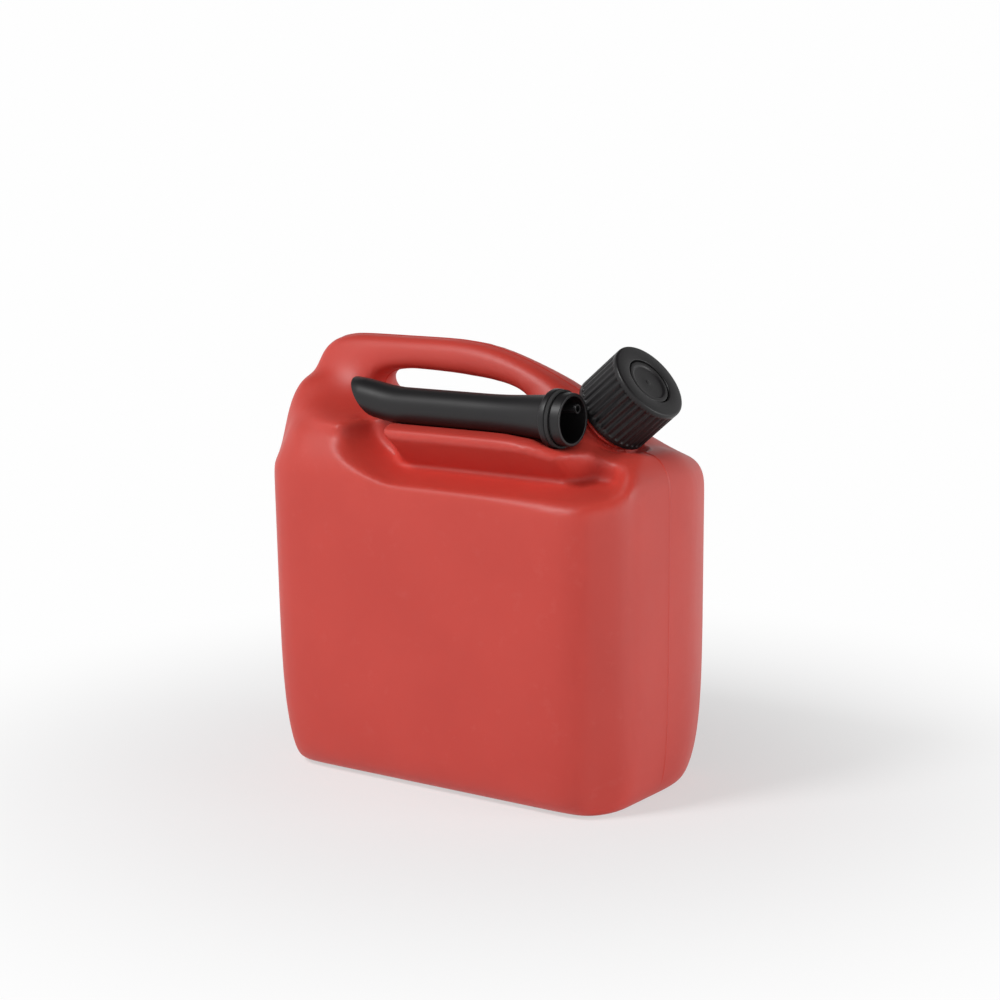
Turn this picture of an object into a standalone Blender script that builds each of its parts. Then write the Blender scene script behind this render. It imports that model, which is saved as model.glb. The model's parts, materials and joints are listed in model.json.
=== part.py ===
"""Five litre plastic fuel can: blow-moulded body with its own handle, a ribbed
screw collar over a sealing disc, and a pouring spout stowed along the front shoulder.

Axes: +X towards the neck, -Y is the side that carries the spout, +Z up.
The origin is the middle of the flat base.
"""
import math

import bmesh
import bpy
from mathutils import Matrix, Vector

for leftover in list(bpy.data.objects):
    bpy.data.objects.remove(leftover, do_unlink=True)

mm = 0.001

# Can body, outside sizes, from the floor upwards
can_length = 245 * mm
can_depth = 135 * mm
face_height = 179 * mm          # up to where the broad faces end
shoulder_height = 27 * mm       # from there to the deck under the finger opening
opening_height = 24 * mm
grip_height = 19 * mm
grip_depth = 28 * mm
wall = 2 * mm
foot_round = 28 * mm            # how far up the rounding of the bottom edge reaches
foot_inset = 5.6 * mm
neck_end_foot_inset = 4 * mm
corner_inset = 11.5 * mm        # softens the upright corners
grip_corner_inset = 9 * mm      # rounds the handle's far upper corner

# Neck, on an axis that leans in the can's middle plane
neck_angle = math.radians(50)
neck_setback = 37.5 * mm        # from the can's end to where the collar's lower edge meets the axis
neck_rise = 6 * mm              # from the deck up to the same point
neck_bore_radius = 15 * mm
neck_wall = 2.8 * mm
neck_root_depth = 7 * mm        # from the collar's lower edge down to the shoulder
neck_stub_step = 0.4 * mm       # the moulded stub stands proud of the neck by this
neck_bead_reach = 3 * mm
neck_bead_height = 2.4 * mm
neck_bead_drop = 1.5 * mm       # between the bead and the collar's lower edge
neck_lip_round = 0.8 * mm

# Screw collar, sealing disc and gasket
collar_height = 32 * mm
collar_wall = 3.4 * mm
collar_lip = 2.8 * mm
collar_mouth_radius = 14 * mm
collar_edge = 1.4 * mm
rib_depth = 0.9 * mm
rib_count = 36
rib_foot_gap = 2.8 * mm
rib_top_gap = 3.2 * mm
disc_thickness = 2.4 * mm
disc_boss_height = 2.2 * mm
disc_boss_edge = 0.6 * mm
disc_plug_depth = 5 * mm
disc_plug_wall = 1.5 * mm
gasket_thickness = 2.4 * mm

# Spout, stowed parallel to X with its foot beside the neck
spout_rise = 8.5 * mm           # from the deck up to the spout's axis
spout_setback = 11 * mm         # from the neck's middle back to the flange
spout_length = 135 * mm         # from the tip to the flange
tube_radius = 10.4 * mm
tube_wall = 1.5 * mm
cone_length = 32 * mm
cone_radius = 12.6 * mm
flange_radius = 16 * mm
flange_thickness = 3.8 * mm
flange_edge = 0.8 * mm
spigot_length = 8.5 * mm
spigot_wall = 1.9 * mm
tip_slope = math.radians(24)
spout_gasket_thickness = 2 * mm
breather_radius = 2.5 * mm
breather_wall = 0.8 * mm
breather_reach = 3 * mm         # how far it stands out of the spigot
breather_setback = 13 * mm      # from the tip

# Fits
gap = 0.3 * mm
loose_gap = 0.7 * mm            # the plug in the neck, and the disc in the collar
thread_room = 2.4 * mm          # between the neck and the collar, taken up by the threads
cradle_clearance = 0.6 * mm
lift_angle = math.radians(60)   # the spout leaves its cradle outwards and up
overrun = 4 * mm
round_segments = 48

# Sizes that follow
deck_height = face_height + shoulder_height
grip_underside_height = deck_height + opening_height
can_height = grip_underside_height + grip_height
neck_outer_radius = neck_bore_radius + neck_wall
neck_seat_x = can_length / 2 - neck_setback
collar_bore_radius = neck_outer_radius + thread_room
collar_radius = collar_bore_radius + collar_wall
neck_top = collar_height - collar_lip - disc_thickness - gasket_thickness - 3 * gap
spout_flange_x = neck_seat_x - spout_setback
spout_tip_x = spout_flange_x - spout_length
spout_axis_y = -(collar_radius + flange_radius)
spout_axis_height = deck_height + spout_rise
spigot_radius = neck_bore_radius - loose_gap
spigot_end = spout_flange_x + flange_thickness + spigot_length

half_length = can_length / 2
half_depth = can_depth / 2
neck_axis = Vector((math.sin(neck_angle), 0, math.cos(neck_angle)))
neck_seat = Vector((neck_seat_x, 0, deck_height + neck_rise))
neck_frame = Matrix.Translation(neck_seat) @ Matrix.Rotation(neck_angle, 4, "Y")
spout_frame = Matrix.Translation((0, spout_axis_y, spout_axis_height)) @ Matrix.Rotation(math.pi / 2, 4, "Y")


def plastic(name, colour, roughness):
    material = bpy.data.materials.new(name)
    material.use_nodes = True
    shader = material.node_tree.nodes["Principled BSDF"]
    shader.inputs["Base Color"].default_value = (*colour, 1)
    shader.inputs["Roughness"].default_value = roughness
    shader.inputs["Metallic"].default_value = 0
    return material


red_polythene = plastic("red_polythene", (0.56, 0.06, 0.05), 0.45)
black_polythene = plastic("black_polythene", (0.022, 0.02, 0.021), 0.5)
nitrile_rubber = plastic("nitrile_rubber", (0.03, 0.03, 0.03), 0.8)


def add_object(name, mesh, material=None):
    made = bpy.data.objects.new(name, mesh)
    bpy.context.scene.collection.objects.link(made)
    if material:
        mesh.materials.append(material)
    return made


def hide_cutter(cutter):
    cutter.hide_render = True
    cutter.display_type = "WIRE"
    return cutter


def smooth(mesh, angle=35):
    mesh.shade_smooth()
    mesh.set_sharp_from_angle(angle=math.radians(angle))


def turned(name, profile, material=None, segments=round_segments, radius_at=None):
    """Turn a closed profile of (radius, height) points round the local Z axis."""
    shape = bmesh.new()
    rings = []
    for radius, height in profile:
        ring = []
        for step in range(segments):
            angle = 2 * math.pi * step / segments
            reach = radius_at(radius, height, step) if radius_at else radius
            ring.append(shape.verts.new((reach * math.cos(angle), reach * math.sin(angle), height)))
        rings.append(ring)
    for lower, upper in zip(rings, rings[1:] + rings[:1]):
        for step in range(segments):
            after = (step + 1) % segments
            shape.faces.new((lower[step], lower[after], upper[after], upper[step]))
    bmesh.ops.recalc_face_normals(shape, faces=shape.faces)
    mesh = bpy.data.meshes.new(name)
    shape.to_mesh(mesh)
    shape.free()
    smooth(mesh)
    return add_object(name, mesh, material)


def rod(name, profile, segments=round_segments):
    """Turn an open profile of (radius, height) points and close both ends."""
    shape = bmesh.new()
    rings = []
    for radius, height in profile:
        ring = []
        for step in range(segments):
            angle = 2 * math.pi * step / segments
            ring.append(shape.verts.new((radius * math.cos(angle), radius * math.sin(angle), height)))
        rings.append(ring)
    for lower, upper in zip(rings, rings[1:]):
        for step in range(segments):
            after = (step + 1) % segments
            shape.faces.new((lower[step], lower[after], upper[after], upper[step]))
    shape.faces.new(list(reversed(rings[0])))
    shape.faces.new(rings[-1])
    bmesh.ops.recalc_face_normals(shape, faces=shape.faces)
    mesh = bpy.data.meshes.new(name)
    shape.to_mesh(mesh)
    shape.free()
    smooth(mesh)
    return add_object(name, mesh)


# The can's cage: a block of cells in columns along X, layers along Y and rows along Z.
# Cells are left out for the finger opening and beside the handle, the skin of what
# stays is the cage, and a Subdivision Surface rounds it into the moulded form.
columns = 8
layers = 5
rows = 8
middle_layer = 3
post_columns = (0, 1)
opening_columns = (2, 3, 4)
handle_columns = (0, 1, 2, 3, 4, 5)
handle_layers = (2, 3)
neck_column = 6
shoulder_row = 5
deck_row = 6
grip_row = 7

column_shares = (-1, -0.82, -0.6, -0.3, 0.04, 0.36, 0.62, 0.85, 1)
grip_column_shares = (-1, -0.82, -0.6, -0.3, 0.02, 0.3, 0.46)
taper_shares = (0.985, 0.99, 0.995, 1, 1)         # the can draws in towards its foot
layer_shares = (-1, -0.6, -0.38, 0, 0.4, 1)
face_row_shares = (0, 0, 0.56, 0.95, 1)
grip_drop_shares = (0, 0, 0, 0, 0, 0.6, 1.05)    # the handle's back falls towards the neck
grip_sag_shares = (0, 0, 0, 0, 0.1, 0.35)        # and so does its underside
grip_lean_share = 0.4
foot_corner_share = 0.35
grip_crown_share = 0.8

# The broad faces' top edge drops beside the neck, where the spout's foot is stowed
face_dip_shares = (0, 0, 0, 0, 0, 0.02, 0.06, 0.09, 0.08)

# Corners of the shoulder as (width, rise): shares of half the depth, and of the height
# from the broad faces' top edge to the top of the can
post_bend_shares = (0.86, 0.18)
post_root_shares = ((-0.68, 0.38), (-0.52, 0.53), (-0.39, 0.67), (0, 0.67), (0.39, 0.67), (0.64, 0.42))
cove_shares = {"front": (0.6, 0.1), "back": (0.85, 0.16)}
neck_cove_shares = {"front": (0.62, 0.05), "back": (0.8, 0.09)}
end_cove_shares = {"front": (0.56, 0.02), "back": (0.87, 0.07)}
deck_edge_shares = {"front": (1.02, 0.36), "back": (0.64, 0.34)}
end_bend_shares = (0.95, 0.03)
end_top_width_shares = {"front": 0.6, "back": 0.74}
end_top_rise_share = 0.25
end_crown_share = 0.1
corner_bend_inset_share = 0.8     # how much of the upright corners' inset is left at the bend
end_top_inset_share = 0.8         # and at the top of the neck's end
post_corner_shares = (0.9, 0.5, 0.2, 0.15, 0.4, 0.9)

# The neck's root is an octagon on the sloping corner: the column and row of each of its
# lines, and how far down the slope it lies
neck_root_shares = {(6, 7): -1, (6, 6): 0, (7, 6): 1}
stub_depth_shares = (0.62, 0.25)


def has_cell(column, layer, row):
    if not (0 <= column < columns and 0 <= layer < layers and 0 <= row < rows):
        return False
    if row < deck_row:
        return True
    if layer not in handle_layers or column not in handle_columns:
        return False
    return row == grip_row or column not in opening_columns


def neck_point(down_share, side_share):
    """A point on the neck's root: down runs along the slope, side along Y."""
    down = Vector((math.cos(neck_angle), 0, -math.sin(neck_angle)))
    middle = neck_seat - neck_axis * neck_root_depth
    side = Vector((0, side_share * collar_radius, 0))
    return middle + down * (down_share * collar_radius) + side


def shoulder_rise(share):
    return face_height + share * (can_height - face_height)


def end_side(index, last):
    """-1 at the first line, 1 at the last and 0 between."""
    return (index == last) - (index == 0)


def place(column, layer, row):
    """Where the cage's corner at these column, layer and row lines lies."""
    if (column, row) in neck_root_shares and layer in (2, 3, 4):
        return place_neck_root(column, layer, row)
    if row >= grip_row:
        return place_grip(column, layer, row)
    x = column_shares[column] * half_length
    y = layer_shares[layer] * half_depth
    if end_side(column, columns) and end_side(layer, layers):
        x -= end_side(column, columns) * corner_inset
        y -= end_side(layer, layers) * corner_inset
    if row < shoulder_row:
        return place_face(column, layer, row, x, y)
    if row == shoulder_row:
        return place_shoulder(column, layer, x, y)
    return place_deck(column, layer, x, y)


def place_face(column, layer, row, x, y):
    x *= taper_shares[row]
    if row == 0:
        inset = neck_end_foot_inset if column == columns else foot_inset
        x -= end_side(column, columns) * inset
        y -= end_side(layer, layers) * foot_inset
        if end_side(column, columns) and end_side(layer, layers):
            x -= end_side(column, columns) * foot_corner_share * corner_inset
            y -= end_side(layer, layers) * foot_corner_share * corner_inset
        return Vector((x, y, 0))
    straight_height = face_height - foot_round
    z = foot_round + face_row_shares[row] * straight_height
    if row >= shoulder_row - 2:
        z -= face_dip_shares[column] * (can_height - face_height)
    return Vector((x, y, z))


def place_shoulder(column, layer, x, y):
    side = end_side(layer, layers)
    if not side:
        return Vector((x, y * end_bend_shares[0], shoulder_rise(end_bend_shares[1])))
    face = "front" if side < 0 else "back"
    width_share, rise_share = cove_shares[face]
    if column in post_columns:
        width_share, rise_share = post_bend_shares
    if column == neck_column:
        width_share, rise_share = neck_cove_shares[face]
    if column > neck_column:
        width_share, rise_share = end_cove_shares[face]
    y = side * width_share * half_depth
    if end_side(column, columns):
        y -= side * corner_bend_inset_share * corner_inset
        rise_share = end_bend_shares[1]
    return Vector((x, y, shoulder_rise(rise_share)))


def place_deck(column, layer, x, y):
    if column in post_columns:
        width_share, rise_share = post_root_shares[layer]
        if column == 0:
            x += post_corner_shares[layer] * corner_inset
        return Vector((x, width_share * half_depth, shoulder_rise(rise_share)))
    if column > neck_column:
        width_share = end_top_width_shares["front" if y < 0 else "back"]
        z = neck_point(1, 0).z
        if column == columns:
            x -= end_top_inset_share * corner_inset
            z = shoulder_rise(end_top_rise_share)
        z -= layer_shares[layer] ** 2 * end_crown_share * (can_height - face_height)
        return Vector((x, y * width_share, z))
    if end_side(layer, layers):
        width_share, rise_share = deck_edge_shares["front" if layer == 0 else "back"]
        return Vector((x, end_side(layer, layers) * width_share * half_depth, shoulder_rise(rise_share)))
    return Vector((x, y, deck_height))


def place_grip(column, layer, row):
    x = grip_column_shares[column] * half_length
    y = (layer - middle_layer) * grip_depth / 2
    if row == grip_row:
        z = grip_underside_height
        if column == 0:
            x += grip_lean_share * grip_corner_inset
            z -= grip_corner_inset
        elif column < len(grip_sag_shares):
            z -= grip_sag_shares[column] * grip_height
        return Vector((x, y, z))
    z = can_height - grip_drop_shares[column] * grip_height
    if column == 0:
        x += grip_corner_inset
        z -= grip_corner_inset
    return Vector((x, y * grip_crown_share, z))


def place_neck_root(column, layer, row):
    down_share = neck_root_shares[(column, row)]
    side_share = layer - middle_layer
    if down_share and side_share:
        down_share *= math.cos(math.pi / 4)
        side_share *= math.cos(math.pi / 4)
    return neck_point(down_share, side_share)


def can_cage(name, stub_radius):
    """The cage's skin as a mesh, with a stub of this radius raised for the neck."""
    shape = bmesh.new()
    corners = {}

    def corner(column, layer, row):
        key = (column, layer, row)
        if key not in corners:
            corners[key] = shape.verts.new(place(*key))
        return corners[key]

    # Each side of a cell: the step to its neighbour, and its corners seen from outside
    sides = {
        (-1, 0, 0): ((0, 0, 0), (0, 0, 1), (0, 1, 1), (0, 1, 0)),
        (1, 0, 0): ((1, 0, 0), (1, 1, 0), (1, 1, 1), (1, 0, 1)),
        (0, -1, 0): ((0, 0, 0), (1, 0, 0), (1, 0, 1), (0, 0, 1)),
        (0, 1, 0): ((0, 1, 0), (0, 1, 1), (1, 1, 1), (1, 1, 0)),
        (0, 0, -1): ((0, 0, 0), (0, 1, 0), (1, 1, 0), (1, 0, 0)),
        (0, 0, 1): ((0, 0, 1), (1, 0, 1), (1, 1, 1), (0, 1, 1)),
    }
    neck_patch = []
    for column in range(columns):
        for layer in range(layers):
            for row in range(rows):
                if not has_cell(column, layer, row):
                    continue
                for step, outline in sides.items():
                    if has_cell(column + step[0], layer + step[1], row + step[2]):
                        continue
                    face = shape.faces.new([corner(column + a, layer + b, row + c) for a, b, c in outline])
                    beside = step == (1, 0, 0) and column == neck_column - 1 and row == deck_row
                    above = step == (0, 0, 1) and column == neck_column and row == deck_row - 1
                    if (beside or above) and layer in handle_layers:
                        neck_patch.append(face)
    raise_neck(shape, neck_patch, stub_radius)
    mesh = bpy.data.meshes.new(name)
    shape.to_mesh(mesh)
    shape.free()
    mesh.shade_smooth()
    return mesh


def raise_neck(shape, patch, stub_radius):
    """Extrude the patch on the sloping corner into a round stub."""
    octagon_shrink = (4 + 2 * math.cos(math.pi / 4)) / 6    # what subdividing takes off its radius
    for depth_share in stub_depth_shares:
        grown = bmesh.ops.extrude_face_region(shape, geom=patch)
        bmesh.ops.delete(shape, geom=patch, context="FACES_ONLY")
        patch = [item for item in grown["geom"] if isinstance(item, bmesh.types.BMFace)]
        middle = neck_seat - neck_axis * (depth_share * neck_root_depth)
        for vert in {vert for face in patch for vert in face.verts}:
            out = vert.co - neck_seat
            out -= neck_axis * out.dot(neck_axis)
            if out.length > wall:
                out = out.normalized() * (stub_radius / octagon_shrink)
            vert.co = middle + out


def add_boolean(target, name, cutter, operation):
    modifier = target.modifiers.new(name, "BOOLEAN")
    modifier.operation = operation
    modifier.solver = "EXACT"
    modifier.object = cutter


def add_rounding(target, ratio):
    rounding = target.modifiers.new("rounding", "SUBSURF")
    rounding.levels = 2
    rounding.render_levels = 2
    thinning = target.modifiers.new("fewer facets", "DECIMATE")
    thinning.ratio = ratio


tip_round_share = 0.7            # the cradle's end follows the tip's slope
cone_foot_share = 0.2


def cradle_cutter(name, growth):
    """The spout's outline with room round it, drawn out along the way it lifts."""
    lift = Vector((0, -math.cos(lift_angle), math.sin(lift_angle)))
    across = Vector((0, math.sin(lift_angle), math.cos(lift_angle)))
    axis_point = Vector((0, spout_axis_y, spout_axis_height))
    lift_reach = shoulder_height + opening_height
    room = cradle_clearance + growth
    outline = (
        (spout_tip_x - room, tube_radius * tip_round_share + growth),
        (spout_tip_x - room / 2, tube_radius + room),
        (spout_flange_x - cone_length, tube_radius + room),
        (spout_flange_x - 2 * room - cone_length * cone_foot_share, cone_radius + room),
        (spout_flange_x - room, flange_radius + room),
        (spout_flange_x + flange_thickness + room, flange_radius + room),
        (spigot_end + breather_reach + room, spigot_radius + room),
    )
    arc_steps = 16
    shape = bmesh.new()
    sections = []
    for x, radius in outline:
        section = []
        for step in range(arc_steps + 1):
            angle = math.pi * step / arc_steps
            offset = across * (radius * math.cos(angle)) - lift * (radius * math.sin(angle))
            section.append(shape.verts.new(axis_point + offset + Vector((x, 0, 0))))
        for side in (-1, 1):
            offset = across * (radius * side) + lift * lift_reach
            section.append(shape.verts.new(axis_point + offset + Vector((x, 0, 0))))
        sections.append(section)
    for near, far in zip(sections, sections[1:]):
        for step in range(len(near)):
            after = (step + 1) % len(near)
            shape.faces.new((near[step], near[after], far[after], far[step]))
    shape.faces.new(sections[0])
    shape.faces.new(sections[-1])
    bmesh.ops.recalc_face_normals(shape, faces=shape.faces)
    mesh = bpy.data.meshes.new(name)
    shape.to_mesh(mesh)
    shape.free()
    return hide_cutter(add_object(name, mesh))


def build_can():
    stub_radius = neck_outer_radius + neck_stub_step
    can = add_object("can_body", can_cage("can_body", stub_radius), red_polythene)
    add_rounding(can, 0.62)

    bead_top = -neck_bead_drop
    bead_bottom = bead_top - neck_bead_height
    bead_slope = neck_bead_height / 3
    bead_radius = neck_outer_radius + neck_bead_reach
    neck = rod("neck_form", (
        (neck_outer_radius, -neck_root_depth),
        (neck_outer_radius, bead_bottom),
        (bead_radius, bead_bottom + bead_slope),
        (bead_radius, bead_top - bead_slope),
        (neck_outer_radius, bead_top),
        (neck_outer_radius, neck_top - neck_lip_round),
        (neck_outer_radius - neck_lip_round, neck_top),
    ))
    neck.matrix_world = neck_frame
    hide_cutter(neck)

    cavity = hide_cutter(add_object("cavity_form", can_cage("cavity_form", neck_bore_radius + wall)))
    add_rounding(cavity, 0.3)
    shrinking = cavity.modifiers.new("wall", "DISPLACE")
    shrinking.strength = -wall
    shrinking.mid_level = 0
    bore = rod("bore_form", (
        (neck_bore_radius, -neck_root_depth - wall),
        (neck_bore_radius, neck_top + overrun),
    ))
    bore.matrix_world = neck_frame
    hide_cutter(bore)

    add_boolean(can, "neck", neck, "UNION")
    add_boolean(can, "cradle", cradle_cutter("cradle_form", 0), "DIFFERENCE")
    add_boolean(cavity, "cradle", cradle_cutter("cradle_inside_form", wall), "DIFFERENCE")
    add_boolean(cavity, "bore", bore, "UNION")
    add_boolean(can, "hollow", cavity, "DIFFERENCE")


def build_closure():
    segments = rib_count * 2

    def ribbed(radius, height, step):
        on_ribs = rib_foot_gap <= height <= collar_height - rib_top_gap
        if radius == collar_radius and on_ribs and step % 2:
            return radius - rib_depth
        return radius

    under_lip = collar_height - collar_lip
    collar = turned("screw_collar", (
        (collar_bore_radius, 0),
        (collar_radius - collar_edge / 2, 0),
        (collar_radius, collar_edge),
        (collar_radius, rib_foot_gap),
        (collar_radius, collar_height - rib_top_gap),
        (collar_radius, collar_height - collar_edge),
        (collar_radius - collar_edge, collar_height),
        (collar_mouth_radius, collar_height),
        (collar_mouth_radius, under_lip),
        (collar_bore_radius, under_lip),
    ), black_polythene, segments, ribbed)
    collar.matrix_world = neck_frame

    disc_top = under_lip - gap
    disc_bottom = disc_top - disc_thickness
    disc_radius = collar_bore_radius - loose_gap
    boss_top = disc_top + disc_boss_height
    boss_radius = collar_mouth_radius - 2 * gap
    plug_radius = neck_bore_radius - loose_gap
    plug_bottom = disc_bottom - disc_plug_depth
    disc = rod("sealing_disc", (
        (plug_radius, plug_bottom),
        (plug_radius, disc_bottom),
        (disc_radius, disc_bottom),
        (disc_radius, disc_top),
        (boss_radius, disc_top),
        (boss_radius, boss_top - disc_boss_edge),
        (boss_radius - disc_boss_edge, boss_top),
    ))
    disc.data.materials.append(black_polythene)
    disc.matrix_world = neck_frame
    hollow = rod("disc_hollow_form", (
        (plug_radius - disc_plug_wall, plug_bottom - overrun),
        (plug_radius - disc_plug_wall, disc_bottom),
    ))
    hollow.matrix_world = neck_frame
    hide_cutter(hollow)
    add_boolean(disc, "plug hollow", hollow, "DIFFERENCE")

    gasket_bottom = neck_top + gap
    gasket_top = gasket_bottom + gasket_thickness
    gasket = turned("neck_gasket", (
        (neck_bore_radius + gap, gasket_bottom),
        (disc_radius - gap, gasket_bottom),
        (disc_radius - gap, gasket_top),
        (neck_bore_radius + gap, gasket_top),
    ), nitrile_rubber)
    gasket.matrix_world = neck_frame


def build_spout():
    flange_end = spout_flange_x + flange_thickness
    bore = tube_radius - tube_wall
    foot_bore = spigot_radius - spigot_wall
    spout = turned("spout_tube", (
        (bore, spout_tip_x),
        (tube_radius, spout_tip_x),
        (tube_radius, spout_flange_x - cone_length),
        (cone_radius, spout_flange_x),
        (flange_radius - flange_edge, spout_flange_x),
        (flange_radius, spout_flange_x + flange_edge),
        (flange_radius, flange_end - flange_edge),
        (flange_radius - flange_edge, flange_end),
        (spigot_radius, flange_end),
        (spigot_radius, spigot_end - flange_edge),
        (spigot_radius - flange_edge, spigot_end),
        (foot_bore, spigot_end),
        (foot_bore, spout_flange_x),
        (bore, spout_flange_x - cone_length),
    ), black_polythene)
    spout.matrix_world = spout_frame

    # The tip is cut on a slope, longer below
    reach = 2 * tube_radius + overrun
    wedge = bmesh.new()
    bmesh.ops.create_cube(wedge, size=2 * reach)
    wedge_mesh = bpy.data.meshes.new("tip_form")
    wedge.to_mesh(wedge_mesh)
    wedge.free()
    tip_form = hide_cutter(add_object("tip_form", wedge_mesh))
    slope = Matrix.Rotation(-tip_slope, 4, "Y")
    start = Vector((spout_tip_x, spout_axis_y, spout_axis_height - tube_radius))
    tip_form.matrix_world = Matrix.Translation(start) @ slope @ Matrix.Translation((-reach, 0, 0))
    add_boolean(spout, "sloping tip", tip_form, "DIFFERENCE")

    gasket_start = flange_end + gap
    gasket_end = gasket_start + spout_gasket_thickness
    gasket = turned("spout_gasket", (
        (spigot_radius + gap, gasket_start),
        (flange_radius - gap, gasket_start),
        (flange_radius - gap, gasket_end),
        (spigot_radius + gap, gasket_end),
    ), nitrile_rubber)
    gasket.matrix_world = spout_frame

    breather_offset = bore - breather_radius - gap
    breather = turned("breather_tube", (
        (breather_radius - breather_wall, spout_tip_x + breather_setback),
        (breather_radius, spout_tip_x + breather_setback),
        (breather_radius, spigot_end + breather_reach),
        (breather_radius - breather_wall, spigot_end + breather_reach),
    ), black_polythene, 16)
    breather.matrix_world = Matrix.Translation((0, 0, breather_offset)) @ spout_frame


build_can()
build_closure()
build_spout()
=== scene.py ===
import json
import math

import bmesh
import bpy
from mathutils import Matrix, Vector


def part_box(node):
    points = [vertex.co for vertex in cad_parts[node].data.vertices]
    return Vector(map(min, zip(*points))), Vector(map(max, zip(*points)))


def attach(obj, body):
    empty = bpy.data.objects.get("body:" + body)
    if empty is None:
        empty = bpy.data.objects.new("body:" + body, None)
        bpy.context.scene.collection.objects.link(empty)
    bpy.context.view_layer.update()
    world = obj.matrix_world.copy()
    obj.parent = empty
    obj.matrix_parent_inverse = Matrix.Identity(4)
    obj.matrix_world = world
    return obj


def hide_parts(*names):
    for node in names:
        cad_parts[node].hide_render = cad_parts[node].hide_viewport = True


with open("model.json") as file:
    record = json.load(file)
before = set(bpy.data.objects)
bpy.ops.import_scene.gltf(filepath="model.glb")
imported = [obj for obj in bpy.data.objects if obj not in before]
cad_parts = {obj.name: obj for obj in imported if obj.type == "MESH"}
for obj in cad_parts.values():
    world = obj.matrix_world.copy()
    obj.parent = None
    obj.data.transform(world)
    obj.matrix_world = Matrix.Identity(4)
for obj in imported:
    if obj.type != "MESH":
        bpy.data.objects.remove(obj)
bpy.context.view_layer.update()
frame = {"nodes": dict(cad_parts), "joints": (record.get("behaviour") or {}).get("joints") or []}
mm = 0.001
weldGap = 0.01 * mm
roundSteps = 96                 # facets round a turned piece

# The neck's axis and the spout's axis, read from the frame
joints = {joint["name"]: joint for joint in frame["joints"]}
neckSeat = Vector(joints["collar_turn"]["pos_m"])
neckAxis = Vector(joints["collar_turn"]["axis"]).normalized()
neckLean = math.acos(neckAxis.z)
neckPlace = Matrix.Translation(neckSeat) @ Matrix.Rotation(neckLean, 4, "Y")
spoutLow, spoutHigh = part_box("spout_tube")
spoutMiddle = (spoutLow + spoutHigh) / 2
spoutPlace = Matrix.Translation((0, spoutMiddle.y, spoutMiddle.z)) @ Matrix.Rotation(math.pi / 2, 4, "Y")


# Small helpers

def linearColour(hexValue):
    # sRGB hex to the linear colour that the nodes use
    channels = [int(hexValue[i:i + 2], 16) / 255 for i in (1, 3, 5)]
    return tuple(c / 12.92 if c <= 0.04045 else ((c + 0.055) / 1.055) ** 2.4 for c in channels) + (1,)


def addNode(tree, kind, settings=None, links=None):
    # One node, with its properties, socket values and incoming links
    node = tree.nodes.new(kind)
    for key, value in (settings or {}).items():
        if isinstance(key, str) and hasattr(node, key):
            setattr(node, key, value)
        else:
            node.inputs[key].default_value = value
    for key, source in (links or {}).items():
        tree.links.new(source, node.inputs[key])
    return node


def eased(value, start, end):
    # 0 before the start, 1 past the end, with a soft run in and out
    share = min(1, max(0, (value - start) / (end - start)))
    return share * share * (3 - 2 * share)


def deselectAll():
    if bpy.context.mode != "OBJECT":
        bpy.ops.object.mode_set(mode="OBJECT")
    bpy.ops.object.select_all(action="DESELECT")


def makeActive(piece):
    deselectAll()
    piece.select_set(True)
    bpy.context.view_layer.objects.active = piece


def applyAll(piece):
    makeActive(piece)
    for modifier in list(piece.modifiers):
        bpy.ops.object.modifier_apply(modifier=modifier.name)


def applyPlace(piece, place):
    # Puts a piece that was made upright at the origin where it belongs
    makeActive(piece)
    piece.matrix_world = place
    bpy.ops.object.transform_apply(location=True, rotation=True, scale=True)


def turnOnAxis(name, profile, steps):
    # Traces the profile of (radius, height) points by extruding one corner, then spins it
    deselectAll()
    bpy.ops.mesh.primitive_plane_add(size=mm, location=(0, 0, 0))
    piece = bpy.context.object
    piece.name = name
    bpy.ops.object.mode_set(mode="EDIT")
    bpy.ops.mesh.select_mode(type="VERT")
    bpy.ops.mesh.select_all(action="SELECT")
    bpy.ops.mesh.merge(type="CENTER")
    radius, height = profile[0]
    bpy.ops.transform.translate(value=(radius, 0, height))
    for nextRadius, nextHeight in profile[1:]:
        move = (nextRadius - radius, 0, nextHeight - height)
        bpy.ops.mesh.extrude_region_move(TRANSFORM_OT_translate={"value": move})
        radius, height = nextRadius, nextHeight
    bpy.ops.mesh.select_all(action="SELECT")
    bpy.ops.mesh.spin(steps=steps, angle=2 * math.pi, center=(0, 0, 0), axis=(0, 0, 1))
    bpy.ops.mesh.select_all(action="SELECT")
    bpy.ops.mesh.remove_doubles(threshold=weldGap)
    bpy.ops.mesh.normals_make_consistent(inside=False)
    bpy.ops.object.mode_set(mode="OBJECT")
    print(name, len(piece.data.polygons), "faces")
    return piece


def roundedLoop(corners, steps=3):
    # Replaces each (radius, height, fillet) corner of a closed profile by an arc; a fillet of 0 stays sharp
    mostShare = 0.45            # of an edge that one arc may take up
    rounded = []
    for index, (radius, height, fillet) in enumerate(corners):
        before = Vector(corners[index - 1][:2])
        here = Vector((radius, height))
        after = Vector(corners[(index + 1) % len(corners)][:2])
        reach = min(fillet, mostShare * (before - here).length, mostShare * (after - here).length)
        start = here + (before - here).normalized() * reach
        end = here + (after - here).normalized() * reach
        for step in range(steps + 1):
            share = step / steps
            arc = start.lerp(here, share).lerp(here.lerp(end, share), share)
            rounded.append((arc.x, arc.y))
    return rounded + rounded[:1]


def smoothShade(piece, angle):
    makeActive(piece)
    bpy.ops.object.shade_smooth_by_angle(angle=math.radians(angle))


# Materials

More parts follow.
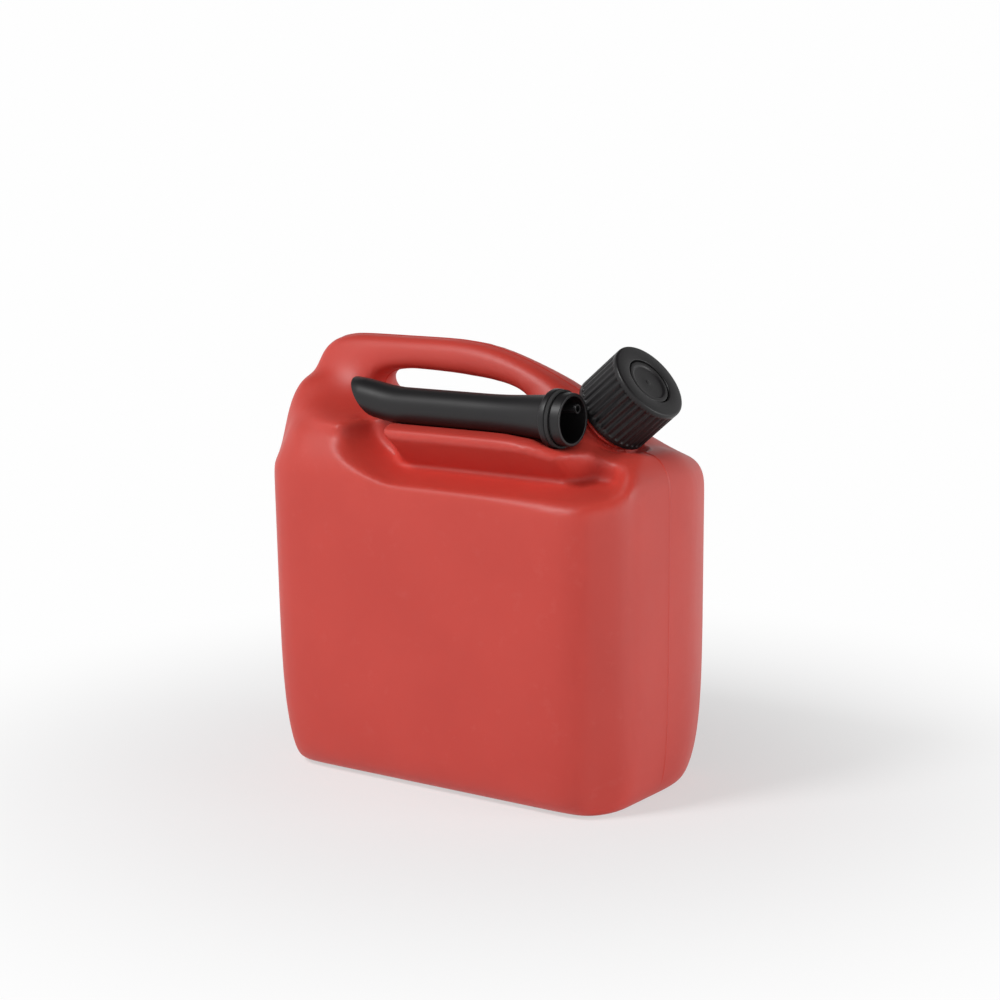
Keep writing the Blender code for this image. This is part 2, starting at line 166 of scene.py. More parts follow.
redFinish = {
    "skin": "#D44539",          # the body's red, a little less strong than the pigment
    "deep": "#C6392E",          # where the wall was stretched thinner
    "scuff": "#D9685F",         # chalky bloom on what gets handled
    "ior": 1.54,
    "sinkShare": 0.08,          # light that sinks in; most of what comes back is red
    "sinkRadius": (1.0, 0.15, 0.1),
    "sinkDepth": 2.5 * mm,
    "swirl": 60 * mm,           # pigment swirl
    "marks": 12 * mm,           # bloom and fine handling marks
    "bloomFrom": 0.58,
    "bloomTo": 0.8,
    "bloomShare": 0.22,
    "smoothest": 0.43,
    "roughest": 0.56,
    "peel": 0.9 * mm,           # orange peel, drawn coarser than the real 0.3 mm so that it shows
    "peelDepth": 0.1 * mm,
    "peelShare": 0.12,
    "wave": 45 * mm,            # where the wall cooled unevenly
    "waveDepth": 1.6 * mm,
    "waveShare": 0.35,
}

blackFinish = {
    "dark": "#151416",
    "pale": "#1D1B1C",
    "ior": 1.52,
    "specular": 0.36,
    "flow": 18 * mm,            # flow marks
    "smoothest": 0.34,
    "roughest": 0.5,
    "grit": 0.5 * mm,           # grain of the tool's skin
    "gritDepth": 0.05 * mm,
    "gritShare": 0.12,
}

rubberFinish = {
    "dark": "#1B1B1C",
    "dusty": "#2E2D2D",
    "ior": 1.52,
    "dust": 3 * mm,
    "smoothest": 0.7,
    "roughest": 0.9,
}


def startMaterial(name, ior):
    # The new material, its tree and shader, and the coordinates that its patterns read
    material = bpy.data.materials.new(name)
    material.use_nodes = True
    tree = material.node_tree
    shader = tree.nodes["Principled BSDF"]
    shader.inputs["IOR"].default_value = ior
    where = addNode(tree, "ShaderNodeTexCoord").outputs["Object"]
    return material, tree, shader, where


def blowMouldedPolythene():
    # High-density polythene, blown against a lightly blasted mould: satin, a faint orange
    # peel, a slow waviness where the wall cooled unevenly, and light that sinks in a little
    material, tree, shader, where = startMaterial("red_blow_moulded_hdpe", redFinish["ior"])
    shader.inputs["Subsurface Weight"].default_value = redFinish["sinkShare"]
    shader.inputs["Subsurface Radius"].default_value = redFinish["sinkRadius"]
    shader.inputs["Subsurface Scale"].default_value = redFinish["sinkDepth"]
    swirl = addNode(
        tree, "ShaderNodeTexNoise",
        {"Scale": 1 / redFinish["swirl"], "Detail": 3, "Distortion": 0.6},
        {"Vector": where},
    )
    stretch = addNode(tree, "ShaderNodeMix", {"data_type": "RGBA"}, {"Factor": swirl.outputs["Fac"]})
    stretch.inputs[6].default_value = linearColour(redFinish["skin"])
    stretch.inputs[7].default_value = linearColour(redFinish["deep"])
    marks = addNode(
        tree, "ShaderNodeTexNoise",
        {"Scale": 1 / redFinish["marks"], "Detail": 8, "Roughness": 0.7},
        {"Vector": where},
    )
    thinned = addNode(
        tree, "ShaderNodeMapRange",
        {
            "From Min": redFinish["bloomFrom"],
            "From Max": redFinish["bloomTo"],
            "To Min": 0,
            "To Max": redFinish["bloomShare"],
        },
        {"Value": marks.outputs["Fac"]},
    )
    bloom = addNode(
        tree, "ShaderNodeMix", {"data_type": "RGBA"},
        {"Factor": thinned.outputs["Result"], 6: stretch.outputs[2]},
    )
    bloom.inputs[7].default_value = linearColour(redFinish["scuff"])
    tree.links.new(bloom.outputs[2], shader.inputs["Base Color"])
    gloss = addNode(
        tree, "ShaderNodeMapRange",
        {"To Min": redFinish["smoothest"], "To Max": redFinish["roughest"]},
        {"Value": marks.outputs["Fac"]},
    )
    tree.links.new(gloss.outputs["Result"], shader.inputs["Roughness"])
    peel = addNode(
        tree, "ShaderNodeTexNoise", {"Scale": 1 / redFinish["peel"], "Detail": 2}, {"Vector": where}
    )
    grain = addNode(
        tree, "ShaderNodeBump",
        {"Strength": redFinish["peelShare"], "Distance": redFinish["peelDepth"]},
        {"Height": peel.outputs["Fac"]},
    )
    wave = addNode(
        tree, "ShaderNodeTexNoise", {"Scale": 1 / redFinish["wave"], "Detail": 1}, {"Vector": where}
    )
    sag = addNode(
        tree, "ShaderNodeBump",
        {"Strength": redFinish["waveShare"], "Distance": redFinish["waveDepth"]},
        {"Height": wave.outputs["Fac"], "Normal": grain.outputs["Normal"]},
    )
    tree.links.new(sag.outputs["Normal"], shader.inputs["Normal"])
    return material


def injectionMouldedPolythene():
    # Carbon-black polythene, injection moulded: tight satin skin with a very fine grain,
    # grey where the light rakes over it
    material, tree, shader, where = startMaterial("black_injection_moulded_hdpe", blackFinish["ior"])
    shader.inputs["Specular IOR Level"].default_value = blackFinish["specular"]
    flow = addNode(
        tree, "ShaderNodeTexNoise",
        {"Scale": 1 / blackFinish["flow"], "Detail": 4, "Distortion": 0.4},
        {"Vector": where},
    )
    tint = addNode(tree, "ShaderNodeMix", {"data_type": "RGBA"}, {"Factor": flow.outputs["Fac"]})
    tint.inputs[6].default_value = linearColour(blackFinish["dark"])
    tint.inputs[7].default_value = linearColour(blackFinish["pale"])
    tree.links.new(tint.outputs[2], shader.inputs["Base Color"])
    grit = addNode(
        tree, "ShaderNodeTexNoise", {"Scale": 1 / blackFinish["grit"], "Detail": 2}, {"Vector": where}
    )
    gloss = addNode(
        tree, "ShaderNodeMapRange",
        {"To Min": blackFinish["smoothest"], "To Max": blackFinish["roughest"]},
        {"Value": grit.outputs["Fac"]},
    )
    tree.links.new(gloss.outputs["Result"], shader.inputs["Roughness"])
    skin = addNode(
        tree, "ShaderNodeBump",
        {"Strength": blackFinish["gritShare"], "Distance": blackFinish["gritDepth"]},
        {"Height": grit.outputs["Fac"]},
    )
    tree.links.new(skin.outputs["Normal"], shader.inputs["Normal"])
    return material


def nitrileRubber():
    # Nitrile rubber, cut from sheet: dull, with a dusty bloom
    material, tree, shader, where = startMaterial("black_nitrile_rubber", rubberFinish["ior"])
    dust = addNode(
        tree, "ShaderNodeTexNoise", {"Scale": 1 / rubberFinish["dust"], "Detail": 5}, {"Vector": where}
    )
    tint = addNode(tree, "ShaderNodeMix", {"data_type": "RGBA"}, {"Factor": dust.outputs["Fac"]})
    tint.inputs[6].default_value = linearColour(rubberFinish["dark"])
    tint.inputs[7].default_value = linearColour(rubberFinish["dusty"])
    tree.links.new(tint.outputs[2], shader.inputs["Base Color"])
    dull = addNode(
        tree, "ShaderNodeMapRange",
        {"To Min": rubberFinish["smoothest"], "To Max": rubberFinish["roughest"]},
        {"Value": dust.outputs["Fac"]},
    )
    tree.links.new(dull.outputs["Result"], shader.inputs["Roughness"])
    return material


redPolythene = blowMouldedPolythene()
blackPolythene = injectionMouldedPolythene()
blackRubber = nitrileRubber()
print("materials", len(bpy.data.materials))


def finishPiece(piece, material, body, node):
    # The new piece gets its material and rides on the body of the node that it stands for
    piece.data.materials.clear()
    piece.data.materials.append(material)
    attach(piece, body)
    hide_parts(node)


# The can

can = {
    "grid": 1.8 * mm,           # cell of the new skin, which rounds what the mould rounds
    "weld": 0.002 * mm,
    "easeShare": 0.5,
    "soften": 5,                # rounds of easing after the first and the second even grid
    "softenAgain": 7,
    "rimDepth": -5.0 * mm,      # the skin ends here on the neck's axis and the turned neck takes over
    "neckZone": 24 * mm,        # how far off the axis the cut at the neck reaches
    "neckSpare": 6 * mm,
    "crookFrom": 18.4 * mm,     # off the neck's axis, the crook under the collar
    "crookTo": 27 * mm,
    "crookFloor": -5.6 * mm,
    "crookRise": 3.8 * mm,
    "crookFade": (206 * mm, 200 * mm),
    "leastWall": 1.4 * mm,
    "spoutClear": 10.65 * mm,   # the cradle keeps this far off the tube's axis
    "cradleHalf": 44 * mm,
    "seamHalf": 0.55 * mm,
    "seamCrest": 0.18 * mm,
    "seamHeight": 0.36 * mm,
    "seamSlack": 0.02 * mm,
    "inset": 0.5 * mm,          # makes room for the parting line inside the can's own size
    "insetAllShare": 0.04,      # what of it is drawn in everywhere
    "insetFrom": 34 * mm,
    "insetLow": 3 * mm,
    "insetRise": 12 * mm,
    "footClear": 7 * mm,        # the parting line has run out below this height
    "footRun": 8 * mm,
    "pushUp": 1.1 * mm,         # the base is dished, so that the pinch-off clears the ground
    "pushUpHalf": (92 * mm, 38 * mm),
    "pushUpEaseShare": 0.14,
    "baseZone": 4 * mm,
}


def neckReach(point):
    # How far a point lies along the neck's axis, and how far off it
    along = (point - neckSeat).dot(neckAxis)
    return along, (point - neckSeat - neckAxis * along).length


def cutNeck(piece, depth):
    # Cuts the neck square to its axis and takes away what is above the cut
    makeActive(piece)
    bpy.ops.object.mode_set(mode="EDIT")
    bpy.ops.mesh.select_mode(type="FACE")
    bpy.ops.mesh.select_all(action="DESELECT")
    shape = bmesh.from_edit_mesh(piece.data)
    for face in shape.faces:
        reaches = [neckReach(vert.co) for vert in face.verts]
        highest = max(along for along, off in reaches)
        face.select_set(highest > depth and min(off for along, off in reaches) < can["neckZone"])
    bmesh.update_edit_mesh(piece.data)
    bpy.ops.mesh.bisect(plane_co=neckSeat + neckAxis * depth, plane_no=neckAxis)
    bpy.ops.mesh.select_all(action="DESELECT")
    bpy.ops.mesh.select_mode(type="FACE")
    shape = bmesh.from_edit_mesh(piece.data)
    for face in shape.faces:
        along, off = neckReach(face.calc_center_median())
        face.select_set(along > depth and off < can["neckZone"])
    bmesh.update_edit_mesh(piece.data)
    bpy.ops.mesh.delete(type="FACE")
    bpy.ops.object.mode_set(mode="OBJECT")


def mouldSkins():
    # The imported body's outer skin and its cavity, parted at the neck
    deselectAll()
    piece = bpy.data.objects.new("can_shell", frame["nodes"]["can_body"].data.copy())
    bpy.context.scene.collection.objects.link(piece)
    makeActive(piece)
    bpy.ops.object.mode_set(mode="EDIT")
    bpy.ops.mesh.select_all(action="SELECT")
    bpy.ops.mesh.remove_doubles(threshold=can["weld"])
    bpy.ops.object.mode_set(mode="OBJECT")
    cutNeck(piece, can["rimDepth"])
    makeActive(piece)
    bpy.ops.object.mode_set(mode="EDIT")
    bpy.ops.mesh.select_all(action="SELECT")
    bpy.ops.mesh.separate(type="LOOSE")
    bpy.ops.object.mode_set(mode="OBJECT")
    parts = sorted(bpy.context.selected_objects, key=lambda part: max(part.dimensions), reverse=True)
    for part in parts[2:]:
        bpy.data.objects.remove(part)
    return parts[0], parts[1]


def evenGrid(skin, rounds):
    grid = skin.modifiers.new("even grid", "REMESH")
    grid.mode = "VOXEL"
    grid.voxel_size = can["grid"]
    ease = skin.modifiers.new("easing", "SMOOTH")
    ease.factor = can["easeShare"]
    ease.iterations = rounds
    applyAll(skin)


def remould(skin):
    # Remakes the outer skin on an even grid and eases the corners that the frame leaves sharp
    makeActive(skin)
    bpy.ops.object.mode_set(mode="EDIT")
    bpy.ops.mesh.select_mode(type="EDGE")
    bpy.ops.mesh.select_all(action="DESELECT")
    bpy.ops.mesh.select_non_manifold()
    bpy.ops.mesh.extrude_region_move(TRANSFORM_OT_translate={"value": neckAxis * can["neckSpare"]})
    bpy.ops.mesh.fill()
    bpy.ops.mesh.select_all(action="SELECT")
    bpy.ops.mesh.normals_make_consistent(inside=False)
    bpy.ops.object.mode_set(mode="OBJECT")
    evenGrid(skin, can["soften"])


# The hollow under the spout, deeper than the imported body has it

hollow = {
    "left": -58 * mm,           # its left end, below the tube's tip
    "leftEase": (-3 * mm, 8 * mm),
    "lean": 40 * mm,            # how far that end has run to the right at the bottom
    "low": 174 * mm,
    "high": 201 * mm,
    "deep": 181 * mm,           # it is deepest here and its back leans out from here up to the lip
    "top": 206 * mm,            # nothing goes back above here
    "back": -38 * mm,
    "lip": -61 * mm,
    "tipBack": -33 * mm,        # where the tip of the tube hangs clear over it
    "shelfFrom": -24 * mm,      # the shelf under the tube starts here
    "shelfRun": 14 * mm,
    "shelfLow": 198 * mm,
    "pocketOpens": (80 * mm, 94 * mm),  # the corner below the collar, cut back to the neck's root
    "pocketTo": 116 * mm,
    "pocketRun": 15 * mm,
    "pocketBack": -27 * mm,
    "pocketLean": 6 * mm,
    "reach": 50 * mm,           # more than any point goes back
    "followShare": 0.92,
    "wall": 2.5 * mm,
}

# Beside the hollow the shoulder stands fuller, next to the tube's tip and below the collar

shoulder = {
    "front": -18 * mm,          # only what lies before this moves
    "low": 172 * mm,
    "high": 206 * mm,
    "rise": 32 * mm,
    "run": 15 * mm,             # how far it leans back over that rise
    "besideEase": (5 * mm, -9 * mm),
    "leftEase": (-116 * mm, -84 * mm),
    "topEase": (206 * mm, 198 * mm),
    "reach": 30 * mm,           # more than any point comes forward
    "endFill": 2 * mm,
    "endEase": (110 * mm, 116 * mm),
    "endLow": (172 * mm, 179 * mm),
    "endHigh": (193 * mm, 187 * mm),
    "endFront": (-18 * mm, -28 * mm),
    "lineHeight": 168 * mm,     # where the face's own line is read, just below the hollow
    "lineHalf": 1.5 * mm,
    "lineStep": 2 * mm,
}


def hollowEnd(height):
    # Where the hollow starts at this height: its lower left corner is well rounded
    drop = max(0, (hollow["high"] - height) / (hollow["high"] - hollow["low"]))
    return hollow["left"] + hollow["lean"] * drop ** 2


def frontLine(skin):
    # The front skin's own line just below the hollow, as Y by steps along X
    line = {}
    for vert in skin.data.vertices:
        if vert.co.y < 0 and abs(vert.co.z - shoulder["lineHeight"]) < shoulder["lineHalf"]:
            step = round(vert.co.x / shoulder["lineStep"])
            line[step] = min(line.get(step, 0), vert.co.y)
    return line


def fillShare(point, depth):
    # How far the front skin comes forward, as a share of the reach, to end the hollow beside the
    # tube's tip and the collar
    if point.y > shoulder["front"] or not shoulder["low"] < point.z < shoulder["high"]:
        return 0
    end = hollowEnd(point.z) - depth
    near, far = shoulder["besideEase"]
    beside = eased(point.x, end + near, end + far) * eased(point.x, *shoulder["leftEase"])
    height = (point.z - shoulder["low"]) / shoulder["rise"]
    face = faceLine.get(round(point.x / shoulder["lineStep"]), 0)
    target = face + shoulder["run"] * height ** 2 + depth
    tip = max(0, point.y - target) * beside * eased(point.z, *shoulder["topEase"])
    corner = eased(point.x, *shoulder["endEase"]) * eased(point.z, *shoulder["endLow"])
    corner *= eased(point.z, *shoulder["endHigh"])
    endFill = shoulder["endFill"] * corner * eased(point.y, *shoulder["endFront"])
    return (tip + endFill) / shoulder["reach"]


def hollowShare(point, depth):
    # How far the front skin goes back, as a share of the reach
    if not hollow["low"] - depth < point.z < hollow["top"]:
        return 0
    leftEnd = hollowEnd(point.z) - depth
    rightEnd = hollow["pocketTo"] + depth
    before, past = hollow["leftEase"]
    across = eased(point.x, leftEnd + before, leftEnd + past)
    across *= eased(point.x, rightEnd, rightEnd - hollow["pocketRun"])
    rise = eased(point.z, hollow["low"] - depth, hollow["deep"] - depth)
    openLeft = eased(point.x, hollow["shelfFrom"], hollow["shelfFrom"] - hollow["shelfRun"])
    openRight = eased(point.x, *hollow["pocketOpens"])
    under = eased(point.z, hollow["high"] + depth, hollow["shelfLow"] + depth)
    share = across * rise * (under + (1 - under) * max(openLeft, openRight))
    lean = max(0, (point.z - hollow["deep"]) / (hollow["high"] - hollow["deep"]))
    back = hollow["back"] + (hollow["lip"] - hollow["back"]) * lean
    back += (hollow["tipBack"] - back) * openLeft
    back += (hollow["pocketBack"] - hollow["pocketLean"] * (lean - 0.5) - back) * openRight
    return hollow["followShare"] * share * max(0, back + depth - point.y) / hollow["reach"]


def pushSkin(skin, name, shareAt, strength, direction="NORMAL"):
    # Moves each point of the skin by its own share of the strength
    group = skin.vertex_groups.new(name=name)
    for vert in skin.data.vertices:
        share = shareAt(vert.co)
        if share > 0:
            group.add([vert.index], share, "REPLACE")
    push = skin.modifiers.new(name, "DISPLACE")
    push.vertex_group = group.name
    push.direction = direction
    push.strength = strength
    push.mid_level = 0
    applyAll(skin)
    skin.vertex_groups.clear()


frontWall = {
    "sides": (5 * mm, 5 * mm, 2.5 * mm),    # faces longer than this are split, round by round
    "front": -20 * mm,
    "low": 168 * mm,
    "high": 212 * mm,
}


def splitFront(cavity):
    # Finer faces on the cavity's front wall, so that it can follow the hollow
    makeActive(cavity)
    bpy.ops.object.mode_set(mode="EDIT")
    bpy.ops.mesh.select_mode(type="FACE")
    for side in frontWall["sides"]:
        bpy.ops.mesh.select_all(action="DESELECT")
        shape = bmesh.from_edit_mesh(cavity.data)
        for face in shape.faces:
            middle = face.calc_center_median()
            inZone = middle.y < frontWall["front"] and frontWall["low"] < middle.z < frontWall["high"]
            face.select_set(inZone and max(edge.calc_length() for edge in face.edges) > side)
        bmesh.update_edit_mesh(cavity.data)
        bpy.ops.mesh.subdivide(number_cuts=1, quadcorner="INNERVERT")
    bpy.ops.object.mode_set(mode="OBJECT")


def dishShare(point):
    # Blown bases are pushed up in the middle: 1 there, falling to 0 at the base's edge
    if point.z > can["baseZone"]:
        return 0
    edge = 1 - max(abs(point.x) / can["pushUpHalf"][0], abs(point.y) / can["pushUpHalf"][1])
    return eased(edge, 0, can["pushUpEaseShare"])


def insetShare(point):
    # The skin is drawn in a little near the parting plane, so that the ridge stays inside the size
    near = eased(abs(point.y), can["insetFrom"], 0)
    above = min(1, max(0, (point.z - can["insetLow"]) / can["insetRise"]))
    return can["insetAllShare"] + (1 - can["insetAllShare"]) * near * above


def ridgeShare(point):
    # 1 on the parting line's crest, run out beside the foot but not across the dish
    if abs(point.y) > can["seamCrest"] + can["seamSlack"]:
        return 0
    clear = min(1, max(0, (point.z - can["footClear"]) / can["footRun"]))
    return max(clear, dishShare(point))


def addPartingLine(skin):
    # Where the two halves of the blow mould met: a low ridge right round in the middle plane
    makeActive(skin)
    for y in (-can["seamHalf"], -can["seamCrest"], can["seamCrest"], can["seamHalf"]):
        bpy.ops.object.mode_set(mode="EDIT")
        bpy.ops.mesh.select_mode(type="FACE")
        bpy.ops.mesh.select_all(action="DESELECT")
        shape = bmesh.from_edit_mesh(skin.data)
        for face in shape.faces:
            ys = [vert.co.y for vert in face.verts]
            face.select_set(min(ys) < y < max(ys))
        bmesh.update_edit_mesh(skin.data)
        bpy.ops.mesh.bisect(plane_co=(0, y, 0), plane_no=(0, 1, 0))
        bpy.ops.object.mode_set(mode="OBJECT")
    pushSkin(skin, "ridge", ridgeShare, can["seamHeight"])


def clearCollar(skin):
    # Opens the crook under the collar again, which the even grid has filled a little
    makeActive(skin)
    bpy.ops.object.mode_set(mode="EDIT")
    shape = bmesh.from_edit_mesh(skin.data)
    for vert in shape.verts:
        along, off = neckReach(vert.co)
        if can["crookFrom"] < off < can["crookTo"]:
            limit = can["crookFloor"] + can["crookRise"] * eased(off, can["neckZone"], can["crookTo"])
            vert.co -= neckAxis * max(0, along - limit) * eased(vert.co.z, *can["crookFade"])
    bmesh.update_edit_mesh(skin.data)
    bpy.ops.object.mode_set(mode="OBJECT")


def clearSpout(skin):
    # Presses back what the remade skin leaves standing into the tube's cradle
    makeActive(skin)
    bpy.ops.object.mode_set(mode="EDIT")
    shape = bmesh.from_edit_mesh(skin.data)
    for vert in shape.verts:
        away = Vector((0, vert.co.y - spoutMiddle.y, vert.co.z - spoutMiddle.z))
        if abs(vert.co.x) < can["cradleHalf"] and away.length < can["spoutClear"]:
            vert.co += away.normalized() * (can["spoutClear"] - away.length)
    bmesh.update_edit_mesh(skin.data)
    bpy.ops.object.mode_set(mode="OBJECT")


def keepWall(cavity, skin):
    # Holds the cavity's wall off the outer skin where the two have come too near
    hold = cavity.modifiers.new("least wall", "SHRINKWRAP")
    hold.target = skin
    hold.wrap_method = "NEAREST_SURFACEPOINT"
    hold.wrap_mode = "INSIDE"
    hold.offset = can["leastWall"]
    applyAll(cavity)


def joinAtNeck(skin, cavity):
    # Cuts the remade skin at the neck again and closes the wall's edge between skin and cavity
    cutNeck(skin, can["rimDepth"])
    deselectAll()
    cavity.select_set(True)
    skin.select_set(True)
    bpy.context.view_layer.objects.active = skin
    bpy.ops.object.join()
    bpy.ops.object.mode_set(mode="EDIT")
    bpy.ops.mesh.select_mode(type="EDGE")
    bpy.ops.mesh.select_all(action="DESELECT")
    bpy.ops.mesh.select_non_manifold()
    bpy.ops.mesh.bridge_edge_loops()
    bpy.ops.mesh.select_all(action="SELECT")
    bpy.ops.mesh.quads_convert_to_tris(quad_method="BEAUTY", ngon_method="BEAUTY")
    bpy.ops.object.mode_set(mode="OBJECT")


canShell, canCavity = mouldSkins()
remould(canShell)
splitFront(canCavity)
faceLine = frontLine(canShell)
for canSkin, depth in ((canShell, 0), (canCavity, hollow["wall"])):
    pushSkin(canSkin, "fill", lambda point: fillShare(point, depth), -shoulder["reach"], "Y")
    pushSkin(canSkin, "hollow", lambda point: hollowShare(point, depth), hollow["reach"], "Y")
evenGrid(canShell, can["softenAgain"])
pushSkin(canShell, "dish", dishShare, -can["pushUp"])
pushSkin(canShell, "drawn in", insetShare, -can["inset"])
clearCollar(canShell)
clearSpout(canShell)
keepWall(canCavity, canShell)
addPartingLine(canShell)
joinAtNeck(canShell, canCavity)
canShell.name = "can_shell"
smoothShade(canShell, 55)
finishPiece(canShell, redPolythene, "can", "can_body")
print("can shell", len(canShell.data.polygons), [round(v * 1000, 1) for v in canShell.dimensions])


# The neck's finish: tamper bead, thread, lip and bore, crisp because the mould's inserts shape it

neck = {
    "bore": 15 * mm,
    "outer": 17.9 * mm,
    "skirt": -8 * mm,
    "skirtWall": 1.5 * mm,
    "skirtRise": 2 * mm,
    "beadReach": 20.7 * mm,
    "beadLow": -3.9 * mm,
    "beadHigh": -1.5 * mm,
    "beadRamp": 0.7 * mm,
    "beadChamfer": 0.5 * mm,
    "top": 23.5 * mm,
    "threadReach": 19.4 * mm,
    "threadFrom": 5 * mm,
}

thread = {
    "pitch": 6 * mm,
    "turns": 2.2,
    "foot": 2.6 * mm,           # width at its root and at its crest
    "crest": 1.2 * mm,
    "sunk": 0.3 * mm,           # its root lies this deep in the wall
    "stepsPerTurn": 72,
    "runOut": 0.12,             # of a turn at either end, down to the least share of its height
    "leastShare": 0.05,
}


def addThread(name, root, crest, start):
    # A trapezoid wound up the neck, run out into the wall at both ends
    deselectAll()
    bpy.ops.mesh.primitive_plane_add(size=1, location=(0, 0, 0))
    piece = bpy.context.object
    piece.name = name
    halfFoot, halfCrest = thread["foot"] / 2, thread["crest"] / 2
    corners = ((root, -halfFoot), (crest, -halfCrest), (crest, halfCrest), (root, halfFoot))
    bpy.ops.object.mode_set(mode="EDIT")
    bpy.ops.mesh.select_mode(type="VERT")
    shape = bmesh.from_edit_mesh(piece.data)
    loop = [loop.vert for loop in shape.faces[:][0].loops]
    for vert, (radius, height) in zip(loop, corners):
        vert.co = (radius, 0, start + height)
    bmesh.update_edit_mesh(piece.data)
    bpy.ops.mesh.select_all(action="SELECT")
    bpy.ops.mesh.delete(type="ONLY_FACE")
    bpy.ops.object.mode_set(mode="OBJECT")
    wind = piece.modifiers.new("wind", "SCREW")
    wind.axis = "Z"
    wind.angle = 2 * math.pi * thread["turns"]
    wind.screw_offset = thread["pitch"] * thread["turns"]
    wind.steps = int(thread["stepsPerTurn"] * thread["turns"])
    wind.render_steps = wind.steps
    wind.use_merge_vertices = False
    applyAll(piece)
    makeActive(piece)
    bpy.ops.object.mode_set(mode="EDIT")
    bpy.ops.mesh.select_mode(type="VERT")
    shape = bmesh.from_edit_mesh(piece.data)
    for vert in shape.verts:
        turn = (vert.co.z - start) / thread["pitch"]
        reached = min(1, max(0, turn) / thread["runOut"], max(0, thread["turns"] - turn) / thread["runOut"])
        radius = math.hypot(vert.co.x, vert.co.y)
        if reached < 1 and abs(radius - root) > 0.1 * mm:
            share = thread["leastShare"] + (1 - thread["leastShare"]) * reached
            lowered = root + (radius - root) * share
            vert.co.x *= lowered / radius
            vert.co.y *= lowered / radius
    bmesh.update_edit_mesh(piece.data)
    bpy.ops.mesh.select_mode(type="EDGE")
    bpy.ops.mesh.select_all(action="DESELECT")
    bpy.ops.mesh.select_non_manifold()
    bpy.ops.mesh.edge_face_add()
    bpy.ops.mesh.select_all(action="SELECT")
    bpy.ops.mesh.normals_make_consistent(inside=False)
    bpy.ops.object.mode_set(mode="OBJECT")
    return piece


neckProfile = roundedLoop((
    (neck["outer"] - neck["skirtWall"], neck["skirt"], 0),
    (neck["outer"], neck["skirt"], 0),
    (neck["outer"], neck["beadLow"], 0.4 * mm),
    (neck["beadReach"], neck["beadLow"] + neck["beadRamp"], 0.5 * mm),
    (neck["beadReach"], neck["beadHigh"] - neck["beadChamfer"], 0.6 * mm),
    (neck["outer"], neck["beadHigh"], 0.4 * mm),
    (neck["outer"], neck["top"], 1.0 * mm),
    (neck["bore"], neck["top"], 0.7 * mm),
    (neck["bore"], neck["skirt"] + neck["skirtRise"], 0),
))
neckFinish = turnOnAxis("neck_finish", neckProfile, roundSteps)
neckThread = addThread(
    "neck_thread", neck["outer"] - thread["sunk"], neck["threadReach"], neck["threadFrom"]
)
deselectAll()
neckThread.select_set(True)
neckFinish.select_set(True)
bpy.context.view_layer.objects.active = neckFinish
bpy.ops.object.join()
applyPlace(neckFinish, neckPlace)
smoothShade(neckFinish, 40)
finishPiece(neckFinish, redPolythene, "can", "can_body")
print("neck finish", len(neckFinish.data.polygons))


# The screw collar

collar = {
    "height": 31.7 * mm,
    "radius": 23.3 * mm,
    "bore": 20.2 * mm,
    "mouth": 14 * mm,
    "lip": 2.5 * mm,
    "ribs": 36,
    "stepsPerRib": 10,
    "ribDepth": 0.9 * mm,
    "ribFoot": 3 * mm,
    "ribTop": 28.6 * mm,
    "runOutRow": 0.5 * mm,      # from the grooves' ends: here they have run out to the share below
    "grooveRow": 1.2 * mm,      # and here they are at their full depth
    "runOutShare": 0.6,
    "threadReach": 18.8 * mm,
    "threadFrom": 2.2 * mm,
}

collarProfile = roundedLoop((
    (collar["bore"], 0, 0.5 * mm),
    (collar["radius"], 0, 1.0 * mm),
    (collar["radius"], collar["ribFoot"], 0),
    (collar["radius"], collar["ribFoot"] + collar["runOutRow"], 0),
    (collar["radius"], collar["ribFoot"] + collar["grooveRow"], 0),
    (collar["radius"], collar["ribTop"] - collar["grooveRow"], 0),
    (collar["radius"], collar["ribTop"] - collar["runOutRow"], 0),
    (collar["radius"], collar["ribTop"], 0),
    (collar["radius"], collar["height"], 1.6 * mm),
    (collar["mouth"], collar["height"], 0.6 * mm),
    (collar["mouth"], collar["height"] - collar["lip"], 0.3 * mm),
    (collar["bore"], collar["height"] - collar["lip"], 0.4 * mm),
))
screwCollar = turnOnAxis("ribbed_collar", collarProfile, collar["ribs"] * collar["stepsPerRib"])


def pressGrooves(piece):
    # Presses the grooves between the ribs in, one depth at a time, with run-outs at both ends
    grooves = {2: 0.35, 3: 0.8, 4: 1, 5: 1, 6: 1, 7: 0.8, 8: 0.35}
    bpy.ops.object.mode_set(mode="EDIT")
    bpy.ops.mesh.select_mode(type="VERT")
    low, high = collar["ribFoot"], collar["ribTop"]
    clear, run = collar["runOutRow"] / 2, (collar["runOutRow"] + collar["grooveRow"]) / 2
    stepAngle = 2 * math.pi / (collar["ribs"] * collar["stepsPerRib"])
    for depthShare in (0.35, 0.8, 1):
        for endShare in (collar["runOutShare"], 1):
            bpy.ops.mesh.select_all(action="DESELECT")
            shape = bmesh.from_edit_mesh(piece.data)
            for vert in shape.verts:
                radius = math.hypot(vert.co.x, vert.co.y)
                step = round(math.atan2(vert.co.y, vert.co.x) / stepAngle)
                inner = low + run < vert.co.z < high - run
                ends = low + clear < vert.co.z < high - clear and not inner
                vert.select_set(
                    abs(radius - collar["radius"]) < weldGap
                    and grooves.get(step % collar["stepsPerRib"]) == depthShare
                    and (inner if endShare == 1 else ends)
                )
            bmesh.update_edit_mesh(piece.data)
            shrink = 1 - collar["ribDepth"] * depthShare * endShare / collar["radius"]
            bpy.ops.transform.resize(value=(shrink, shrink, 1), center_override=(0, 0, 0))
    bpy.ops.object.mode_set(mode="OBJECT")


